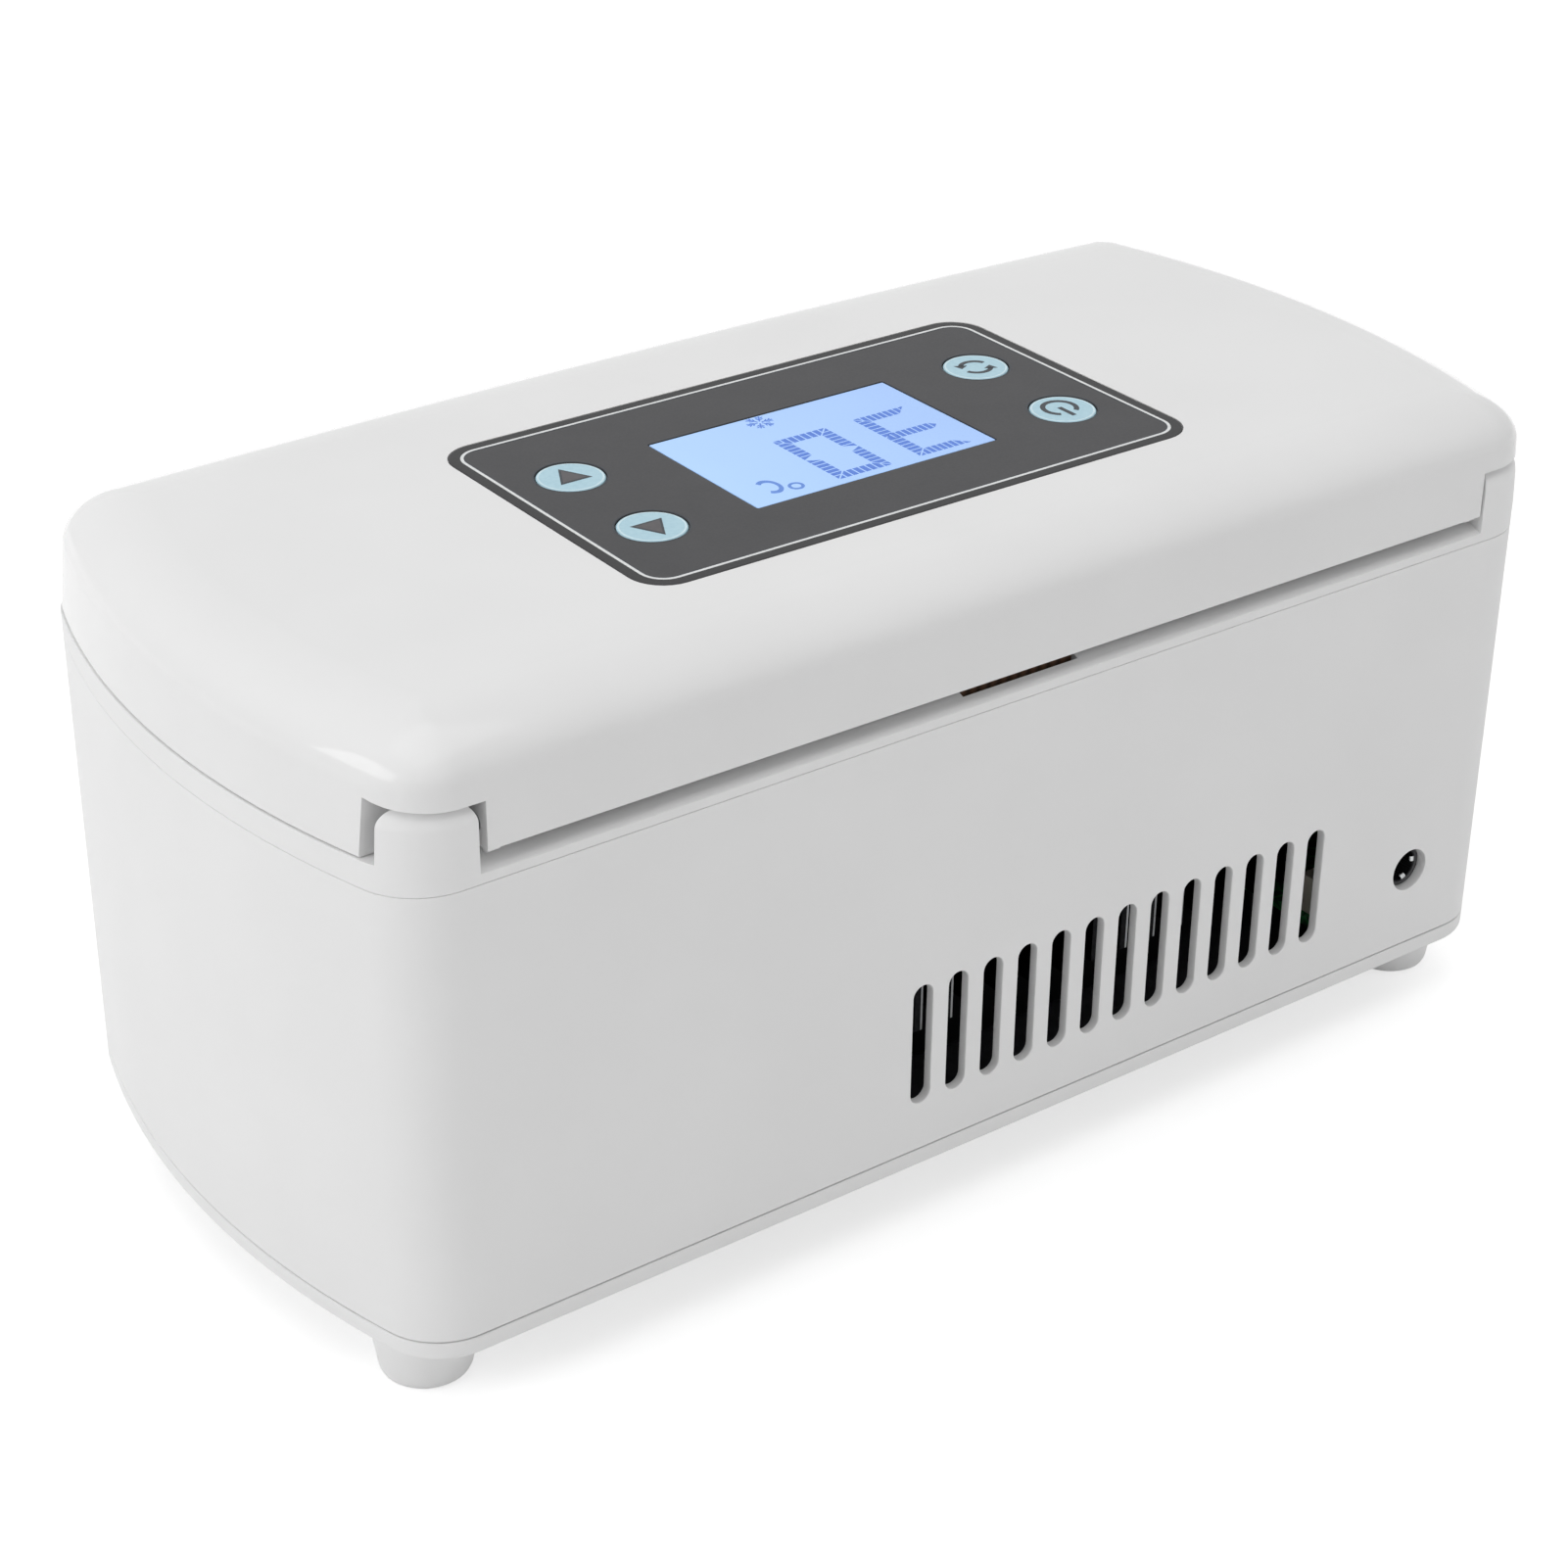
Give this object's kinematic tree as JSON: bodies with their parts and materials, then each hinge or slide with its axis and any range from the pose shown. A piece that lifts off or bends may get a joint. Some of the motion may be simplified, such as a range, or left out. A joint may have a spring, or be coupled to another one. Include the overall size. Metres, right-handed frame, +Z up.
{
  "type": "insulin cooling case",
  "caption": "White bow-ended portable cooling case with a rear-hinged lid, display panel with keys, aluminium cold chamber, fan-cooled thermoelectric base, rear vents and a power inlet.",
  "frame": {"origin": "centre of the case on the floor under the feet", "axes": "+X along the case, +Y to the hinge and vent side, +Z up; the display reads upright from -Y"},
  "size_m": [0.2408, 0.115, 0.115],
  "materials": {
    "casing": "moulded gloss ABS",
    "panel_film": "printed polyester film",
    "keycap": "translucent silk-screened cap",
    "lcd": "backlit liquid crystal panel",
    "diffuser": "opal acrylic",
    "circuit_board": "solder-masked glass epoxy",
    "black_plastic": "black moulded nylon",
    "foam": "closed-cell polyethylene",
    "gasket": "silicone",
    "aluminium": "satin",
    "anodised": "black anodised",
    "steel": "nickel plated",
    "ceramic": "alumina plates",
    "connector": "ivory nylon",
    "flat_cable": "brown ribbon"
  },
  "bodies": {
    "case": {"collar": "casing", "body_shell": "casing", "base_cover": "casing", "foot_front_left": "casing", "foot_front_right": "casing", "foot_rear_left": "casing", "foot_rear_right": "casing", "control_board": "circuit_board", "temperature_sensor": "black_plastic", "fan_frame": "black_plastic", "power_jack": "black_plastic", "capacitor": "black_plastic", "controller_chip": "black_plastic", "insulation_foam": "foam", "chamber_liner": "aluminium", "cold_block": "aluminium", "heat_sink": "anodised", "hinge_pin_left": "steel", "hinge_pin_right": "steel", "power_jack_pin": "steel", "board_screw_front_left": "steel", "board_screw_rear_right": "steel", "base_screw_front_left": "steel", "base_screw_front_right": "steel", "base_screw_rear_left": "steel", "base_screw_rear_right": "steel", "fan_screw_front_left": "steel", "fan_screw_front_right": "steel", "fan_screw_rear_left": "steel", "fan_screw_rear_right": "steel", "thermoelectric_module": "ceramic", "cable_connector": "connector", "body_cable": "flat_cable"},
    "lid": {"lid_shell": "casing", "keypad_overlay": "panel_film", "lcd_module": "lcd", "lcd_backlight": "diffuser", "display_board": "circuit_board", "switch_up": "black_plastic", "switch_down": "black_plastic", "switch_mode": "black_plastic", "switch_power": "black_plastic", "display_screw_front_left": "steel", "display_screw_front_right": "steel", "display_screw_rear_left": "steel", "display_screw_rear_right": "steel", "lid_foam": "foam", "lid_liner": "casing", "liner_screw_front_left": "steel", "liner_screw_front_right": "steel", "liner_screw_rear_left": "steel", "liner_screw_rear_right": "steel", "lid_gasket": "gasket", "lid_cable": "flat_cable"},
    "fan_rotor": {"fan_rotor": "black_plastic"},
    "key_up": {"key_up": "keycap"},
    "key_down": {"key_down": "keycap"},
    "key_mode": {"key_mode": "keycap"},
    "key_power": {"key_power": "keycap"}
  },
  "joints": [
    {"name": "lid_hinge", "type": "hinge", "parent": "case", "child": "lid", "pos_m": [0, 0.054, 0.0995], "axis": [-1, 0, 0], "range_deg": [0, 100]},
    {"name": "fan_spin", "type": "hinge", "parent": "case", "child": "fan_rotor", "pos_m": [-0.0237, 0.008, 0.02], "axis": [0, 0, 1], "continuous": true},
    {"name": "key_up_press", "type": "slide", "parent": "lid", "child": "key_up", "axis": [0, 0, -1], "range_m": [0, 0.0004], "stiffness_N_per_m": 3000},
    {"name": "key_down_press", "type": "slide", "parent": "lid", "child": "key_down", "axis": [0, 0, -1], "range_m": [0, 0.0004], "stiffness_N_per_m": 3000},
    {"name": "key_mode_press", "type": "slide", "parent": "lid", "child": "key_mode", "axis": [0, 0, -1], "range_m": [0, 0.0004], "stiffness_N_per_m": 3000},
    {"name": "key_power_press", "type": "slide", "parent": "lid", "child": "key_power", "axis": [0, 0, -1], "range_m": [0, 0.0004], "stiffness_N_per_m": 3000}
  ]
}
